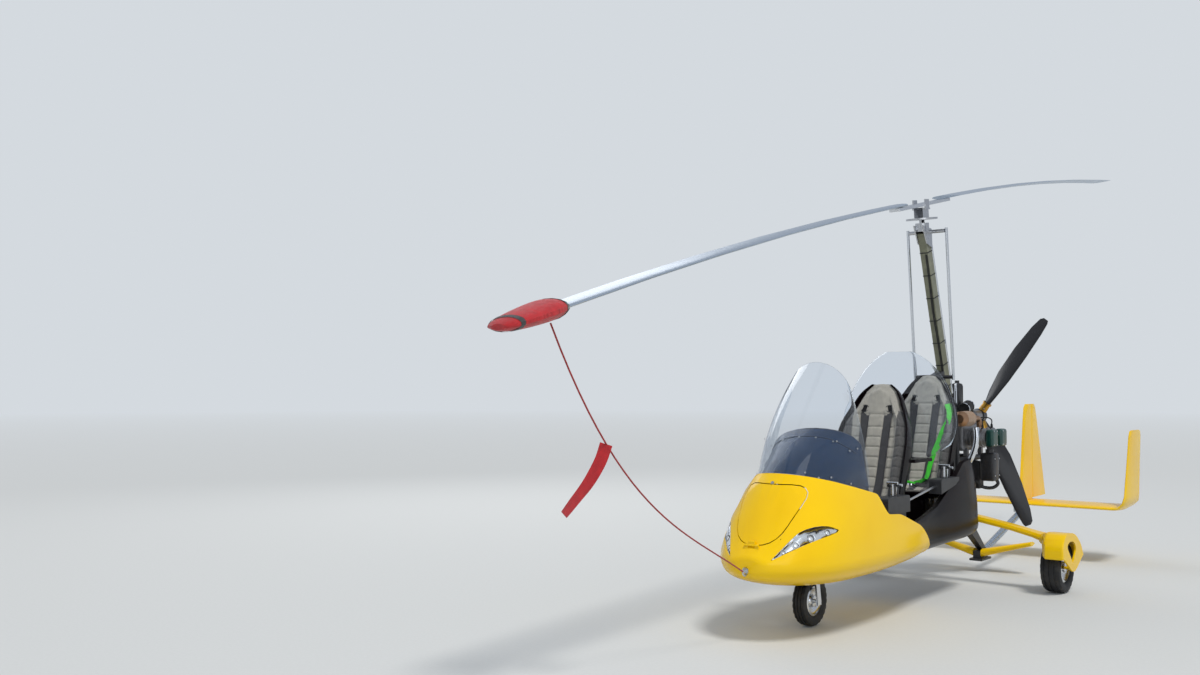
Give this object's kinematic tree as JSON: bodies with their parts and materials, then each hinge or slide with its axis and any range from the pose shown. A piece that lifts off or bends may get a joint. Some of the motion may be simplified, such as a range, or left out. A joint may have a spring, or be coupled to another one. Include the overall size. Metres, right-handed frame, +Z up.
{
  "type": "gyrocopter",
  "caption": "Open tandem gyrocopter with a moulded nose pod, leaning mast, long rotor, pusher propeller and an end-finned tail.",
  "frame": {"origin": "on the ground under the middle of the rotor hub", "axes": "nose points -Y, +X is the port side, +Z up, ground at Z = 0"},
  "size_m": [1.7318, 8.1709, 3.3573],
  "materials": {
    "yellow_gelcoat": "high gloss moulded shell",
    "black_gelcoat": "high gloss moulded shell",
    "navy_gelcoat": "gloss",
    "dark_plastic": "fine grain",
    "clear_lens": "clear acrylic",
    "grey_cloth": "woven seat cover",
    "red_cloth": "coated cloth bag",
    "bright_steel": "brushed",
    "heated_steel": "heat-tinted",
    "bright_alloy": "satin",
    "engine_castings": "rough cast",
    "green_paint": "gloss paint",
    "black_paint": "satin powder coat",
    "olive_paint": "satin",
    "black_blade": "moulded fibre blade",
    "tyre_rubber": "rubber"
  },
  "bodies": {
    "airframe": {"nose_pod": "yellow_gelcoat", "headlamp_port": "clear_lens", "headlamp_starboard": "clear_lens", "front_windscreen": "clear_lens", "rear_windscreen": "clear_lens", "instrument_cowl": "navy_gelcoat", "instrument_panel": "dark_plastic", "fuselage_tub": "black_gelcoat", "front_seat_shell": "black_gelcoat", "front_seat_cushion": "grey_cloth", "rear_seat_shell": "black_gelcoat", "rear_seat_cushion": "grey_cloth", "lever_console_front": "dark_plastic", "lever_console_rear": "dark_plastic", "control_link": "bright_steel", "control_stick_front": "dark_plastic", "control_stick_rear": "dark_plastic", "nose_frame": "black_paint", "rudder_pedals": "bright_alloy", "tow_hook": "bright_steel", "mast": "olive_paint", "mast_tube": "bright_alloy", "rotor_head": "bright_steel", "control_rod_port": "bright_alloy", "control_rod_starboard": "bright_alloy", "control_crank": "black_paint", "keel_frame": "black_paint", "tail_boom": "bright_alloy", "keel_fin_port": "yellow_gelcoat", "keel_fin_starboard": "yellow_gelcoat", "main_gear_bow": "yellow_gelcoat", "horizontal_stabilizer": "yellow_gelcoat", "end_fin_port": "yellow_gelcoat", "end_fin_starboard": "yellow_gelcoat", "center_fin": "yellow_gelcoat", "engine": "engine_castings", "rocker_covers_port": "green_paint", "rocker_covers_starboard": "green_paint", "intake": "bright_alloy", "exhaust": "heated_steel", "radiator": "black_paint"},
    "hatch": {"nose_hatch": "yellow_gelcoat"},
    "nose_steering": {"nose_fork": "bright_alloy"},
    "nose_wheel": {"nose_wheel_tyre": "tyre_rubber", "nose_wheel_rim": "bright_alloy"},
    "main_wheel_port": {"main_wheel_port_tyre": "tyre_rubber", "main_wheel_port_rim": "bright_alloy"},
    "main_wheel_starboard": {"main_wheel_starboard_tyre": "tyre_rubber", "main_wheel_starboard_rim": "bright_alloy"},
    "propeller": {"propeller": "black_blade"},
    "rotor": {"rotor_shaft": "bright_steel", "hub_bar": "bright_alloy", "rotor_blade_front": "bright_alloy", "rotor_blade_rear": "bright_alloy", "blade_cover": "red_cloth"},
    "rudder": {"rudder": "yellow_gelcoat"}
  },
  "joints": [
    {"name": "nose_hatch_hinge", "type": "hinge", "parent": "airframe", "child": "hatch", "pos_m": [0, -2.2271, 0.5255], "axis": [1, 0, 0], "range_deg": [0, 75]},
    {"name": "nose_steer", "type": "hinge", "parent": "airframe", "child": "nose_steering", "pos_m": [0, -1.63, 0.33], "axis": [0, 0, 1], "range_deg": [-25, 25]},
    {"name": "nose_wheel_spin", "type": "hinge", "parent": "nose_steering", "child": "nose_wheel", "pos_m": [0, -1.6, 0.145], "axis": [1, 0, 0], "continuous": true},
    {"name": "main_wheel_port_spin", "type": "hinge", "parent": "airframe", "child": "main_wheel_port", "pos_m": [0.75, 0.41, 0.168], "axis": [1, 0, 0], "continuous": true},
    {"name": "main_wheel_starboard_spin", "type": "hinge", "parent": "airframe", "child": "main_wheel_starboard", "pos_m": [-0.75, 0.41, 0.168], "axis": [1, 0, 0], "continuous": true},
    {"name": "propeller_spin", "type": "hinge", "parent": "airframe", "child": "propeller", "pos_m": [0, 1, 1.154], "axis": [0, 1, 0], "continuous": true},
    {"name": "rotor_spin", "type": "hinge", "parent": "airframe", "child": "rotor", "pos_m": [0, 0, 2.63], "axis": [0, -0.1219, 0.9925], "continuous": true},
    {"name": "rudder_hinge", "type": "hinge", "parent": "airframe", "child": "rudder", "pos_m": [0, 2.13, 0.84], "axis": [0, 0, 1], "range_deg": [-25, 25]}
  ]
}
